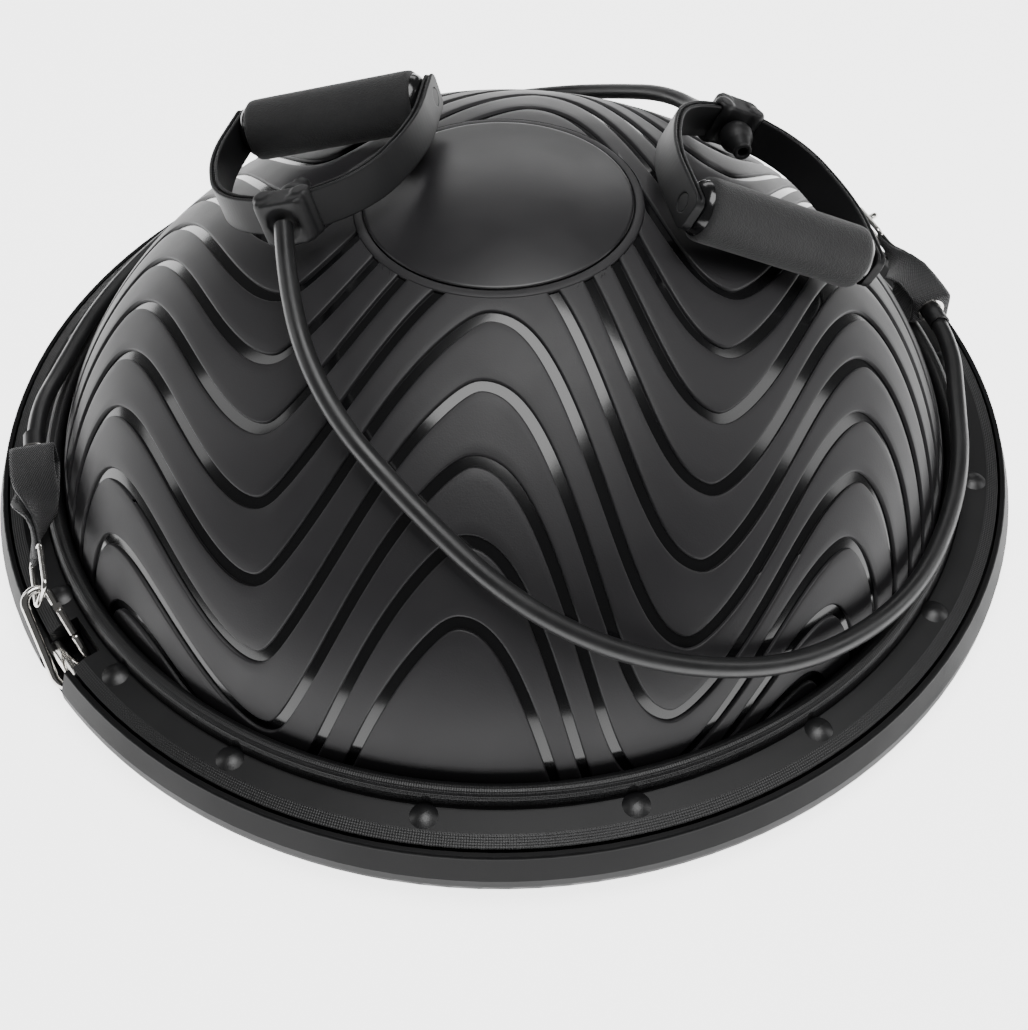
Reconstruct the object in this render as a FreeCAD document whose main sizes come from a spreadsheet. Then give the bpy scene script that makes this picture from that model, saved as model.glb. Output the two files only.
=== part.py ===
import FreeCAD, Part
import math
import Sketcher
import os

# Balance dome trainer: an inflated half-ball clamped to a round base, with two resistance
# tubes that clip to the rim and end in hand grips. Millimetres, +Z up.
# The origin is on the floor, under the centre of the base.

Vec = FreeCAD.Vector
Place = FreeCAD.Placement
Turn = FreeCAD.Rotation
upward = Vec(0, 0, 1)

doc = FreeCAD.newDocument("BalanceDome")
sheet = doc.addObject("Spreadsheet::Sheet", "dims")

driving = {
    # base
    "pad_height": 3, "base_radius": 300, "floor_thick": 4, "wall_top": 30.5,
    "seat_height": 20.5, "well_radius": 254, "rib_count": 36, "rib_thick": 2.4,
    "boss_radius": 6, "foot_radius": 17, "foot_circle": 215,
    # inflated dome
    "crown_top": 197, "crown_radius": 312, "shoulder_radius": 163, "join_radius": 215,
    "disc_radius": 73.5, "neck_radius": 260, "neck_top": 36, "skin": 4, "flange_radius": 287,
    "flange_low": 20.5,
    "flange_top": 24.5,
    # clamp ring
    "ring_low": 24.5, "ring_inner": 261, "bead_radius": 4.7, "bead_middle": 37.7,
    "ring_face": 33, "ring_step": 284.5, "ring_outer": 291, "ring_edge": 31,
    # screws and their caps
    "screw_circle": 277, "screw_radius": 2, "screw_head": 4.2, "screw_bore": 4.6,
    "cap_radius": 7, "cap_rise": 2.2, "first_screw": 6.7, "next_screw": 23.8, "screw_pitch": 21.1,
    # clip slots in the rim
    "slot_angle": 36.6, "slot_half": 13, "slot_inner": 275, "slot_block": 21,
    "pin_radius": 4.5, "pin_circle": 289, "pin_height": 19.6, "pin_half": 18, "pin_shift": 3,
    # snap hook
    "hook_wire": 2.25, "hook_lean": 42, "hook_half": 9.8, "hook_eye_half": 6.9,
    "hook_bend": -1, "hook_head": 38, "nose_place": 12,
    "gate_pivot": 28.5, "gate_wire": 2.2, "rivet_radius": 0.9, "tongue_thick": 1.5,
    # link ring, webbing and its eyelet
    "link_wire": 1.6, "link_half": 13,
    "web_wide": 25, "web_narrow": 19, "web_thick": 1.8, "web_tall": 21,
    "eyelet_bore": 6.4, "eyelet_rim": 8.3, "sleeve_radius": 6.1, "sleeve_length": 18,
    # resistance tubes
    "tube_radius": 5,
    # hand grips
    "strap_wide": 22, "strap_thick": 5.2, "groove_wide": 1.6, "groove_deep": 2,
    "knuckle_tall": 27, "knuckle_half": 11, "knuckle_inner": 4.4, "ear_reach": 102, "ear_half": 57.5,
    "ear_corner": 6, "foam_radius": 17.5, "foam_half": 50, "core_radius": 12.5, "rod_radius": 5,
    "socket_radius": 5.3, "cap_round": 15, "ball_radius": 9.5, "stem_radius": 3,
}
for row, (name, value) in enumerate(driving.items(), start=1):
    sheet.set("A%d" % row, name)
    sheet.set("B%d" % row, str(value))
    sheet.setAlias("B%d" % row, name)
doc.recompute()

runClear = 0.05      # radial clearance of a turning or sliding fit
gap = 0.3            # clearance between pieces that move apart


def dim(text):
    # value of a size, or of a sum of sizes, as the sheet works it out
    return float(sheet.evalExpression(text))


def bind(thing, prop, text):
    thing.setExpression(prop, text)


def size(*names):
    # the same sizes as plain numbers, for shapes made with Part's own functions
    found = [dim("dims." + name) for name in names]
    return found[0] if len(found) == 1 else found


# ---- helpers for bodies and sketches ----

def newBody(label):
    body = doc.addObject("PartDesign::Body", label)
    body.Label = label
    return body


def newSketch(body, role, name):
    sketch = body.newObject("Sketcher::SketchObject", name)
    plane = [item for item in body.Origin.OriginFeatures if item.Role == role][0]
    sketch.AttachmentSupport = [(plane, "")]
    sketch.MapMode = "FlatFace"
    return sketch


def Constraint(*args):
    return Sketcher.Constraint(*args)


def holdPoint(sketch, geo, pos, textX, textY):
    # fixes one sketch point at a place given by two expressions
    for kind, text, axis in (("DistanceX", textX, -2), ("DistanceY", textY, -1)):
        if text is None:
            continue
        value = dim(text)
        if abs(value) < 1e-9:
            sketch.addConstraint(Constraint("PointOnObject", geo, pos, axis))
            continue
        index = sketch.addConstraint(Constraint(kind, -1, 1, geo, pos, value))
        sketch.setExpression("Constraints[%d]" % index, text)


def outline(sketch, corners):
    # closed outline; a corner is (x, y) or (x, y, radius), the radius being that of an arc
    # to the next corner, positive when the arc turns left. A fourth item means a crown: the
    # arc's centre is on the axis and the height of its rim follows from that
    count = len(corners)
    spots = [Vec(dim(c[0]), dim(c[1]), 0) for c in corners]
    ends = []
    freeHeight = set()
    for i, corner in enumerate(corners):
        a, b = spots[i], spots[(i + 1) % count]
        if len(corner) == 2:
            geo = sketch.addGeometry(Part.LineSegment(a, b), False)
            ends.append((geo, 1, 2))
            continue
        radius = dim(corner[2])
        chord = b - a
        side = Vec(-chord.y, chord.x, 0).normalize()
        reach = math.sqrt(max(radius ** 2 - chord.Length ** 2 / 4, 0))
        centre = (a + b) / 2 + side * math.copysign(reach, radius)
        if len(corner) == 4:
            centre.x = 0
            pole, rim, loose = (b, a, i) if abs(b.x) < 1e-9 else (a, b, (i + 1) % count)
            centre.y = pole.y - abs(radius)
            rim.y = centre.y + math.sqrt(radius ** 2 - rim.x ** 2)
            freeHeight.add(loose)
        first, last = (a, b) if radius > 0 else (b, a)
        begin = math.atan2(first.y - centre.y, first.x - centre.x)
        finish = math.atan2(last.y - centre.y, last.x - centre.x)
        arc = Part.ArcOfCircle(Part.Circle(centre, upward, abs(radius)), begin, finish)
        geo = sketch.addGeometry(arc, False)
        ends.append((geo, 1, 2) if radius > 0 else (geo, 2, 1))
        if len(corner) == 4:
            sketch.addConstraint(Constraint("PointOnObject", geo, 3, -2))
        index = sketch.addConstraint(Constraint("Radius", geo, abs(radius)))
        sketch.setExpression("Constraints[%d]" % index, "abs(%s)" % corner[2])
    for i in range(count):
        geo, _, tail = ends[i]
        following, head, _ = ends[(i + 1) % count]
        sketch.addConstraint(Constraint("Coincident", geo, tail, following, head))
    for i, corner in enumerate(corners):
        holdPoint(sketch, ends[i][0], ends[i][1], corner[0], None if i in freeHeight else corner[1])


def disc(sketch, textX, textY, textRadius):
    centre = Vec(dim(textX), dim(textY), 0)
    geo = sketch.addGeometry(Part.Circle(centre, upward, dim(textRadius)), False)
    holdPoint(sketch, geo, 3, textX, textY)
    index = sketch.addConstraint(Constraint("Radius", geo, dim(textRadius)))
    sketch.setExpression("Constraints[%d]" % index, textRadius)


def spun(label, corners):
    # turned piece: the outline is (distance from the axis, height)
    body = newBody(label)
    sketch = newSketch(body, "XZ_Plane", label + "Outline")
    outline(sketch, corners)
    turned = body.newObject("PartDesign::Revolution", label + "Turned")
    turned.Profile = sketch
    turned.ReferenceAxis = (sketch, ["V_Axis"])
    turned.Angle = 360
    sketch.Visibility = False
    return body


def extruded(body, kind, name, text, draw, symmetric=False, reverse=False, level=None):
    # Pad or Pocket of a sketch on the XY plane, lifted to a level when one is given
    sketch = newSketch(body, "XY_Plane", name + "Sketch")
    if level is not None:
        sketch.setExpression("AttachmentOffset.Base.z", level)
    draw(sketch)
    feature = body.newObject("PartDesign::" + kind, name)
    feature.Profile = sketch
    bind(feature, "Length", text)
    feature.SideType = "Symmetric" if symmetric else "One side"
    feature.Reversed = reverse
    return feature


def polar(body, feature, textCount, name):
    sketch = feature.Profile[0]
    pattern = body.newObject("PartDesign::PolarPattern", name)
    pattern.Originals = [feature]
    pattern.Axis = (sketch, ["N_Axis"])
    pattern.Angle = 360
    bind(pattern, "Occurrences", textCount)
    body.Tip = pattern
    return pattern


def plain(label, shape, placement=None):
    # sub-part whose shape comes straight from Part's functions
    item = doc.addObject("Part::Feature", label)
    item.Label = label
    item.Shape = shape
    if placement is not None:
        item.Placement = placement
    return item


def group(shapes):
    return Part.makeCompound(shapes)


# ---- helpers for routes ----

def routeEdges(points, radii=None, cordDiameter=None, label=""):
    # straight runs joined by tangent arcs; without radii each arc is as large as its runs allow
    edges = []
    start = points[0]
    found = []
    for i in range(1, len(points) - 1):
        before, here, after = points[i - 1], points[i], points[i + 1]
        into = (here - before).normalize()
        out = (after - here).normalize()
        half = into.getAngle(out) / 2
        shorter = min((here - before).Length, (after - here).Length)
        radius = radii[i - 1] if radii else 0.45 * shorter / math.tan(half)
        found.append(radius)
        cut = radius * math.tan(half)
        first = here - into * cut
        last = here + out * cut
        inward = (out - into).normalize()
        middle = here + inward * (radius / math.cos(half) - radius)
        if (first - start).Length > 1e-6:
            edges.append(Part.LineSegment(start, first).toShape())
        edges.append(Part.Arc(first, middle, last).toShape())
        start = last
    edges.append(Part.LineSegment(start, points[-1]).toShape())
    if cordDiameter:
        print(label, "arc radii", [round(r) for r in found], "least allowed", 5 * cordDiameter)
    return edges


def roundBar(edges, radius, heading):
    # round bar along connected edges
    wire = Part.Wire(edges)
    section = Part.Wire([Part.Circle(wire.Edges[0].Vertexes[0].Point, heading, radius).toShape()])
    return wire.makePipeShell([section], True, False)


def frameFrom(origin, along, sideways):
    # placement with its X along one direction and its Y as near as possible to another
    x = Vec(along).normalize()
    y = sideways - x * sideways.dot(x)
    y.normalize()
    z = x.cross(y)
    return Place(FreeCAD.Matrix(x.x, y.x, z.x, origin.x, x.y, y.y, z.y, origin.y,
                                x.z, y.z, z.z, origin.z, 0, 0, 0, 1))


def turnedAboutZ(degrees):
    return Place(Vec(0, 0, 0), Turn(upward, degrees))


slotTurn = turnedAboutZ(size("slot_angle"))

# ---- base tray: a ribbed moulding, open underneath between its well and its wall ----

tray = spun("base_tray", [
    ("0", "dims.pad_height"),
    ("dims.well_radius + 4", "dims.pad_height"),
    ("dims.well_radius + 4", "dims.seat_height - 4"),
    ("dims.base_radius - 6", "dims.seat_height - 4"),
    ("dims.base_radius - 4", "dims.pad_height + 9", "-5"),
    ("dims.base_radius - 9", "dims.pad_height + 4"),
    ("dims.base_radius - 14", "dims.pad_height + 4"),
    ("dims.base_radius - 14", "dims.pad_height"),
    ("dims.base_radius - 9", "dims.pad_height", "9"),
    ("dims.base_radius", "dims.pad_height + 9"),
    ("dims.base_radius", "dims.pad_height + 14"),
    ("dims.base_radius - 4.2", "dims.wall_top - 1.5", "1.6"),
    ("dims.base_radius - 5.6", "dims.wall_top"),
    ("dims.ring_outer + 1.6", "dims.wall_top"),
    ("dims.ring_outer + 1.6", "dims.seat_height"),
    ("dims.well_radius", "dims.seat_height"),
    ("dims.well_radius", "dims.pad_height + dims.floor_thick"),
    ("0", "dims.pad_height + dims.floor_thick"),
])
tray.Placement = slotTurn


def screwAngles():
    # screws stand close beside each slot and evenly between the two slots
    first, following, pitch = size("first_screw", "next_screw", "screw_pitch")
    half = [first] + [following + pitch * step for step in range(7)] + [180 - first]
    return half + [angle + 180 for angle in half]


def screwSpot(angle):
    return ("dims.screw_circle * cos(%g deg)" % angle, "dims.screw_circle * sin(%g deg)" % angle)


def screwDiscs(textRadius):
    def draw(sketch):
        for angle in screwAngles():
            spotX, spotY = screwSpot(angle)
            disc(sketch, spotX, spotY, textRadius)
    return draw


def boxSketch(lowX, highX, lowY, highY):
    def draw(sketch):
        outline(sketch, [(lowX, lowY), (highX, lowY), (highX, highY), (lowX, highY)])
    return draw


rib = extruded(tray, "Pad", "trayRib", "dims.seat_height - 4 - dims.pad_height - 2",
               boxSketch("dims.well_radius + 3", "dims.base_radius - 7",
                         "-dims.rib_thick / 2", "dims.rib_thick / 2"),
               level="dims.pad_height + 2")
polar(tray, rib, "dims.rib_count", "trayRibs")
extruded(tray, "Pad", "trayBosses", "dims.seat_height - dims.pad_height - 1",
         screwDiscs("dims.boss_radius"), level="dims.pad_height + 1")
blocks = extruded(tray, "Pad", "slotBlock", "dims.flange_top - dims.pad_height",
                  boxSketch("dims.slot_inner - 4", "dims.base_radius - 6",
                            "-dims.slot_block", "dims.slot_block"), level="dims.pad_height")
polar(tray, blocks, "2", "slotBlocks")
slots = extruded(tray, "Pocket", "slotCut", "dims.wall_top",
                 boxSketch("dims.slot_inner", "dims.base_radius + 10",
                           "-dims.slot_half", "dims.slot_half"),
                 reverse=True, level="dims.pad_height + dims.floor_thick")
polar(tray, slots, "2", "slotCuts")
extruded(tray, "Pocket", "screwPilots", "dims.seat_height", screwDiscs("dims.screw_radius + 0.02"),
         reverse=True, level="dims.pad_height + 3")



def pinHoles(sketch):
    for side in ("", "-"):
        disc(sketch, side + "dims.pin_circle", "dims.pin_height", "dims.pin_radius + 0.02")


def frontPocket(body, name, text, draw):
    sketch = newSketch(body, "XZ_Plane", name + "Sketch")
    draw(sketch)
    feature = body.newObject("PartDesign::Pocket", name)
    feature.Profile = sketch
    bind(feature, "Length", text)
    feature.SideType = "Symmetric"
    return feature


frontPocket(tray, "pinBores", "2 * dims.pin_half + 0.2", pinHoles)

# ---- inflated dome: a closed moulding with a flange that the ring clamps down ----

bladder = spun("dome_bladder", [
    ("0", "dims.pad_height + dims.floor_thick + 1.5"),
    ("dims.well_radius - 6", "dims.pad_height + dims.floor_thick + 1.5", "5"),
    ("dims.well_radius - 1", "dims.pad_height + dims.floor_thick + 6.5"),
    ("dims.well_radius - 1", "dims.flange_low"),
    ("dims.flange_radius", "dims.flange_low"),
    ("dims.flange_radius", "dims.flange_top"),
    ("dims.neck_radius", "dims.flange_top"),
    ("dims.neck_radius", "dims.neck_top", "dims.shoulder_radius"),
    ("dims.join_radius", "dims.crown_top - 85.9", "dims.crown_radius", "crown"),
    ("0", "dims.crown_top"),
    ("0", "dims.crown_top - dims.skin", "-(dims.crown_radius - dims.skin)", "crown"),
    ("dims.join_radius - 2.8", "dims.crown_top - 88.7", "-(dims.shoulder_radius - dims.skin)"),
    ("dims.neck_radius - dims.skin", "dims.neck_top"),
    ("dims.neck_radius - dims.skin", "dims.flange_top"),
    ("dims.well_radius - 1 - dims.skin", "dims.flange_low"),
    ("dims.well_radius - 1 - dims.skin", "dims.pad_height + dims.floor_thick + 5.5"),
    ("0", "dims.pad_height + dims.floor_thick + 5.5"),
])
bladder.Placement = slotTurn
notches = extruded(bladder, "Pocket", "flangeNotch", "dims.skin + 2",
                   boxSketch("dims.slot_inner - 4.5", "dims.flange_radius + 5",
                             "-dims.slot_block - 0.5", "dims.slot_block + 0.5"),
                   reverse=True, level="dims.flange_low - 1")
polar(bladder, notches, "2", "flangeNotches")
extruded(bladder, "Pocket", "flangeHoles", "dims.skin + 2", screwDiscs("dims.screw_radius + 0.6"),
         reverse=True, level="dims.flange_low - 1")

# fine groove round the crown disc
grooveSketch = newSketch(bladder, "XZ_Plane", "discGrooveOutline")
outline(grooveSketch, [("dims.disc_radius - 0.7", "dims.crown_top - 9.6"),
                       ("dims.disc_radius + 0.7", "dims.crown_top - 9.6"),
                       ("dims.disc_radius + 0.7", "dims.crown_top"),
                       ("dims.disc_radius - 0.7", "dims.crown_top")])
discGroove = bladder.newObject("PartDesign::Groove", "discGroove")
discGroove.Profile = grooveSketch
discGroove.ReferenceAxis = (grooveSketch, ["V_Axis"])
discGroove.Angle = 360
grooveSketch.Visibility = False

# inflation valve, low on the far side: a seat moulded into the wall and a push-in plug
valveTilt = math.degrees(math.asin((66 + 6.9) / 163))
valveSpot = Vec(102.7 + 163 * math.cos(math.radians(valveTilt)), 0, 66)
valvePlace = turnedAboutZ(62) * Place(valveSpot, Turn(Vec(0, 1, 0), 90 - valveTilt))
valveBore = bladder.newObject("PartDesign::SubtractiveCylinder", "valveBore")
valveBore.Radius = 9
valveBore.Height = 20
valveBore.Placement = turnedAboutZ(-size("slot_angle")) * valvePlace * Place(Vec(0, 0, -10), Turn())
seat = spun("valve_seat", [
    ("3.6", "-9"), ("7", "-9"), ("8.98", "-4.2"), ("8.98", "-0.6"), ("8.2", "0.4"), ("5.4", "0.4"),
    ("5.4", "-1.4"), ("3.6", "-1.4"),
])
seat.Placement = valvePlace
plug = spun("air_plug", [
    ("0", "-12"), ("2.6", "-12"), ("3.55", "-9.5"), ("3.55", "-1.3"), ("5", "-1.3"), ("5", "0.2"),
    ("4.2", "1.1"), ("0", "1.4"),
])
plug.Placement = valvePlace

# ---- clamp ring, its screws and their push-in caps ----

ring = spun("clamp_ring", [
    ("dims.ring_inner", "dims.ring_low"),
    ("dims.ring_outer", "dims.ring_low"),
    ("dims.ring_outer", "dims.ring_edge"),
    ("dims.ring_step", "dims.ring_face"),
    ("dims.ring_inner + 2 * dims.bead_radius + 1.4", "dims.ring_face"),
    ("dims.ring_inner + 2 * dims.bead_radius + 0.9", "dims.ring_face - 0.8"),
    ("dims.ring_inner + 2 * dims.bead_radius + 0.4", "dims.ring_face"),
    ("dims.ring_inner + 2 * dims.bead_radius", "dims.bead_middle", "dims.bead_radius + 0.01"),
    ("dims.ring_inner", "dims.bead_middle"),
])
ring.Placement = slotTurn
cuts = extruded(ring, "Pocket", "ringCut", "30",
                boxSketch("dims.slot_inner - 0.5", "dims.ring_outer + 5",
                          "-dims.slot_half - 0.5", "dims.slot_half + 0.5"),
                reverse=True, level="dims.ring_low - 2")
polar(ring, cuts, "2", "ringCuts")
extruded(ring, "Pocket", "capSeats", "10", screwDiscs("dims.cap_radius + 0.02"), reverse=True,
         level="dims.ring_face - 2.4")
extruded(ring, "Pocket", "headSeats", "10", screwDiscs("dims.screw_bore"), reverse=True,
         level="dims.ring_low + 2.5")
extruded(ring, "Pocket", "ringHoles", "10", screwDiscs("dims.screw_radius + 0.4"), reverse=True,
         level="dims.ring_low - 2")

screws = newBody("clamp_screws")
screws.AllowCompound = True
screws.Placement = slotTurn
extruded(screws, "Pad", "shanks", "dims.ring_low + 2.6 - dims.pad_height - 5",
         screwDiscs("dims.screw_radius"), level="dims.pad_height + 5")
extruded(screws, "Pad", "heads", "2.4", screwDiscs("dims.screw_head"), level="dims.ring_low + 2.5")


def screwCaps():
    circle, radius, rise, face = size("screw_circle", "cap_radius", "cap_rise", "ring_face")
    ball = (radius ** 2 + rise ** 2) / (2 * rise)
    capShapes = []
    for angle in screwAngles():
        spot = Turn(upward, angle).multVec(Vec(circle, 0, 0))
        stem = Part.makeCylinder(radius, 2.4 + rise, spot + Vec(0, 0, face - 2.4))
        crown = Part.makeSphere(ball, spot + Vec(0, 0, face + rise - ball))
        capShapes.append(stem.common(crown))
    return group(capShapes)


plain("screw_caps", screwCaps(), slotTurn)

feet = newBody("rubber_feet")
feet.AllowCompound = True


def footDiscs(sketch):
    disc(sketch, "0", "0", "dims.foot_radius * 2")
    for step in range(8):
        disc(sketch, "dims.foot_circle * cos(%g deg)" % (step * 45 + 22.5),
             "dims.foot_circle * sin(%g deg)" % (step * 45 + 22.5), "dims.foot_radius")


extruded(feet, "Pad", "feetPads", "dims.pad_height", footDiscs)

# ---- clips at the two slots ----
# local frame of a slot: X outward from the dome's axis, Y along the rim, Z up

slotSpots = {"right": slotTurn, "left": turnedAboutZ(size("slot_angle") + 180)}
hookOrigin = Vec(size("pin_circle"), size("pin_shift"), size("pin_height"))
lean = math.radians(size("hook_lean"))
hookUp = Vec(0, -math.sin(lean), math.cos(lean))
hookIn = Vec(-1, 0, 0)
hookSide = hookUp.cross(hookIn)


def onHook(along, across, off=0.0):
    return hookOrigin + hookUp * along + hookIn * across + hookSide * off


def hookWire():
    wire, half, eyeHalf, bend, head = size("hook_wire", "hook_half", "hook_eye_half",
                                           "hook_bend", "hook_head")
    nose, pivot = size("nose_place", "gate_pivot")
    edges = []

    def line(a, b):
        edges.append(Part.LineSegment(onHook(*a), onHook(*b)).toShape())

    def arc(a, b, c):
        edges.append(Part.Arc(onHook(*a), onHook(*b), onHook(*c)).toShape())

    # two circles of the pear joined by their outer tangents
    apart = head - bend
    tilt = math.asin((half - eyeHalf) / apart)
    low = (bend + half * math.sin(tilt), half * math.cos(tilt))
    high = (head + eyeHalf * math.sin(tilt), eyeHalf * math.cos(tilt))

    def side(along):
        share = (along - low[0]) / (high[0] - low[0])
        return low[1] + share * (high[1] - low[1])

    line((nose, side(nose)), low)
    arc(low, (bend - half, 0), (low[0], -low[1]))
    line((low[0], -low[1]), (high[0], -high[1]))
    arc((high[0], -high[1]), (head + eyeHalf, 0), high)
    line(high, (pivot + 5, side(pivot + 5)))
    bar = roundBar(edges, wire, hookUp)
    tip = Part.makeSphere(wire, onHook(nose, side(nose)))
    # flat tongue that carries the gate's rivet
    thick = size("tongue_thick")
    heading = onHook(pivot, side(pivot)) - onHook(pivot + 5, side(pivot + 5))
    tongue = Part.makeBox(7.2, 2 * wire - 0.4, thick,
                          Vec(-1.2, -wire + 0.2, -thick / 2))
    tongue.Placement = frameFrom(onHook(pivot + 5, side(pivot + 5)), heading, hookIn)
    hole = Part.makeCylinder(size("rivet_radius") + 0.02, 20, onHook(pivot, side(pivot), -10), hookSide)
    whole = bar.fuse([tip, tongue]).cut(hole).removeSplitter()
    return whole, side


hookShape, hookFlank = hookWire()


def gateShapes():
    # gate bar with a forked end, its rivet, both lying on the open side of the hook
    wire, gateWire, nose, pivot = size("hook_wire", "gate_wire", "nose_place", "gate_pivot")
    thick, rivet = size("tongue_thick", "rivet_radius")
    root = onHook(pivot, hookFlank(pivot))
    tip = onHook(nose + wire + gap + 0.1, hookFlank(nose + wire + gap))
    heading = (tip - root).normalize()
    bar = Part.makeCylinder(gateWire, (tip - root).Length, root, heading)
    knob = Part.makeSphere(gateWire, root)
    gate = bar.fuse(knob)
    slot = Part.makeBox(8, 10, thick + 0.6, Vec(-5, -5, -thick / 2 - 0.3))
    slot.Placement = frameFrom(root, heading, hookIn)
    bore = Part.makeCylinder(rivet + 0.02, 20, root - hookSide * 10, hookSide)
    pin = Part.makeCylinder(rivet, 2 * gateWire + 1.2, root - hookSide * (gateWire + 0.6), hookSide)
    return gate.cut(slot).cut(bore), pin


gateShape, gatePin = gateShapes()

# link ring: a long loop of round wire from the hook's eye to the webbing
eyeAngle = math.radians(35)
eyeSpot = onHook(size("hook_head") + size("hook_eye_half") * math.cos(eyeAngle),
                 size("hook_eye_half") * math.sin(eyeAngle))
foldSpot = Vec(277, -48.5, 53)
tabMouth = Vec(246.3, -115.2, 55.5)
linkAlong = (foldSpot - eyeSpot).normalize()
eyeTangent = hookIn * math.cos(eyeAngle) - hookUp * math.sin(eyeAngle)
linkBar = linkAlong.cross(eyeTangent).normalize()
if linkBar.z < 0:
    linkBar = linkBar * -1
print("link against eye wire:", round(math.degrees(linkAlong.getAngle(eyeTangent))), "degrees")


def linkShape():
    wire, half = size("link_wire", "link_half")
    near = eyeSpot - linkAlong * (size("hook_wire") + wire + 0.9)
    arm = half - 4
    spots = [near + linkBar * (arm / 2), near + linkBar * arm, foldSpot + linkBar * arm,
             foldSpot - linkBar * arm, near - linkBar * arm, near]
    edges = routeEdges(spots, radii=[3.2] * 4)
    edges.append(Part.LineSegment(spots[-1], spots[0]).toShape())
    section = Part.Wire([Part.Circle(spots[0], linkBar, wire).toShape()])
    return Part.Wire(edges).makePipeShell([section], True, False)


def tabShapes():
    wide, narrow, thick, tall = size("web_wide", "web_narrow", "web_thick", "web_tall")
    axis = (tabMouth - foldSpot).normalize()
    length = (tabMouth - foldSpot).Length
    narrow = 2 * (size("link_half") - 4 - 3.2)

    def section(share, width, height):
        spot = foldSpot + axis * (length * share)
        level = Vec(0, 0, 1).cross(axis).normalize()
        over = axis.cross(level)
        blend = max(0.0, min(1.0, share * 1.35))
        across = (linkBar * (1 - blend) + level * blend)
        across = (across - axis * across.dot(axis)).normalize()
        up = axis.cross(across)
        corner = [spot + across * (sx * width / 2) + up * (sy * height / 2)
                  for sx, sy in ((-1, -1), (1, -1), (1, 1), (-1, 1))]
        return Part.makePolygon(corner + corner[:1])

    stations = [(-0.07, narrow, 6.4), (0.1, narrow + 1, 6.6), (0.3, narrow + 6, 9),
                (0.55, wide - 2, 15), (0.8, wide, tall - 1.5), (1.0, wide, tall)]
    outside = Part.makeLoft([section(*s) for s in stations], True, False)
    inner = [(0.42, wide - 1, 5.4), (0.55, wide + 6, 15 - 2 * thick),
             (0.8, wide + 8, tall - 1.5 - 2 * thick), (1 - thick / length, wide + 8, tall - 2 * thick)]
    hollow = Part.makeLoft([section(*s) for s in inner], True, False)
    barHole = Part.makeCylinder(size("link_wire") + 2 * gap, 60, foldSpot - linkBar * 30, linkBar)
    eyeBore = Part.makeCylinder(size("eyelet_bore") + 0.62, 12, tabMouth - axis * 6, axis)
    return outside.cut([hollow, barHole, eyeBore]), axis


tabShape, tabAxis = tabShapes()
plugFace = tabMouth - tabAxis * 4


def alongTab(shape, offset):
    shape.Placement = frameFrom(tabMouth + tabAxis * offset, tabAxis, upward)
    return shape


def tubeLike(outer, inner, low, high):
    # straight round sleeve along local X
    shell = Part.makeCylinder(outer, high - low, Vec(low, 0, 0), Vec(1, 0, 0))
    return shell.cut(Part.makeCylinder(inner, high - low, Vec(low, 0, 0), Vec(1, 0, 0)))


for hand, spot in slotSpots.items():
    pin = doc.addObject("Part::Cylinder", hand + "_anchor_pin")
    pin.Label = hand + "_anchor_pin"
    bind(pin, "Radius", "dims.pin_radius")
    bind(pin, "Height", "2 * dims.pin_half")
    pin.Placement = spot * Place(Vec(size("pin_circle"), size("pin_half"), size("pin_height")),
                                 Turn(Vec(1, 0, 0), 90))
    plain(hand + "_snap_hook", hookShape.copy(), spot)
    plain(hand + "_hook_gate", gateShape.copy(), spot)
    plain(hand + "_gate_pin", gatePin.copy(), spot)
    plain(hand + "_link_ring", linkShape(), spot)
    plain(hand + "_webbing_tab", tabShape.copy(), spot)
    boreRadius, rim, sleeve, length = size("eyelet_bore", "eyelet_rim", "sleeve_radius",
                                           "sleeve_length")
    thick = size("web_thick")
    collar = tubeLike(boreRadius + 0.6, boreRadius, -thick - 0.6, 0.6)
    for low, high in ((0.02, 1.1), (-thick - 1.1, -thick - 0.02)):
        collar = collar.fuse(tubeLike(rim, boreRadius, low, high))
    plain(hand + "_eyelet", group([collar.removeSplitter()]),
          spot * frameFrom(tabMouth, tabAxis, upward))
    tubeRadius = size("tube_radius")
    sleeveShape = tubeLike(sleeve, tubeRadius + 0.02, -4, length - 4)
    plain(hand + "_tube_sleeve", sleeveShape, spot * frameFrom(tabMouth, tabAxis, upward))
    stopper = Part.makeCylinder(7.6, 9, Vec(-13, 0, 0), Vec(1, 0, 0))
    stopper = stopper.makeFillet(2, [stopper.Edges[0], stopper.Edges[2]])
    plain(hand + "_tube_plug", stopper, spot * frameFrom(tabMouth, tabAxis, upward))

# ---- hand grips ----
# local frame of a grip: origin at the knuckle, X along the grip, Y from the knuckle to the
# grip, Z away from the dome

gripPlaces = {
    "left": Place(Vec(-108, -28, 203.8), Turn(-8, -16, -5)),
    "right": Place(Vec(134.4, 79.1, 179.4), Turn(-172.6, -26.7, 0.4)),
}


def strapShape(grow=0.0):
    # moulded band, its narrow edges split into two ribs by a groove
    wide, thick, deep, cut = size("strap_wide", "strap_thick", "groove_deep", "groove_wide")
    reach, half = size("ear_reach", "ear_half")
    path = [Vec(half, reach + 12), Vec(half + 2.5, 60), Vec(42, 13), Vec(0, -3.7), Vec(-42, 13),
            Vec(-half - 2.5, 60), Vec(-half, reach + 12)]
    top, flat = wide / 2 + grow, thick / 2 + grow
    side = [(flat, top - 0.6), (flat - 0.6, top), (cut / 2, top), (cut / 2 - 0.3, top - deep)]
    if grow:
        side = [(flat, top)]
    side += [(-a, b) for a, b in reversed(side)]
    side += [(-a, -b) for a, b in side]
    corners = [Vec(half + a, reach + 12, b) for a, b in side]
    section = Part.makePolygon(corners + corners[:1])
    band = Part.Wire(routeEdges(path)).makePipeShell([section], True, False)
    return band


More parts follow.
